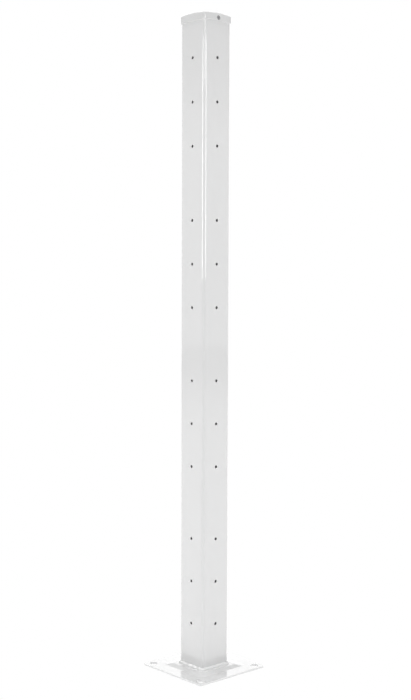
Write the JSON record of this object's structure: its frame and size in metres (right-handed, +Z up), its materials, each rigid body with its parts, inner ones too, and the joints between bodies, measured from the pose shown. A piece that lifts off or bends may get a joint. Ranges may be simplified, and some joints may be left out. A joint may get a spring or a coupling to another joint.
{
  "type": "guard rail post",
  "caption": "Square hollow guard rail post with grouped fixing holes up neighbouring faces, a pressed foot plate with anchor holes, a welded foot and a shallow domed cap.",
  "frame": {"origin": "centre of the underside of the foot plate, on the axis of the tube", "axes": "+Z up the post; the two drilled faces of the tube look along -Y and +X, and the cap's screw is in the +X face"},
  "size_m": [0.15, 0.15, 1.1268],
  "materials": {
    "powder_coat": "glossy white powder coat over steel",
    "cap_coat": "glossy white coat, a shade greyer than the post",
    "zinc_steel": "bare zinc-plated steel"
  },
  "bodies": {
    "root": {"base_plate": "powder_coat", "post_tube": "powder_coat", "weld_bead": "powder_coat", "post_cap": "cap_coat", "cap_screw": "zinc_steel"}
  },
  "joints": []
}
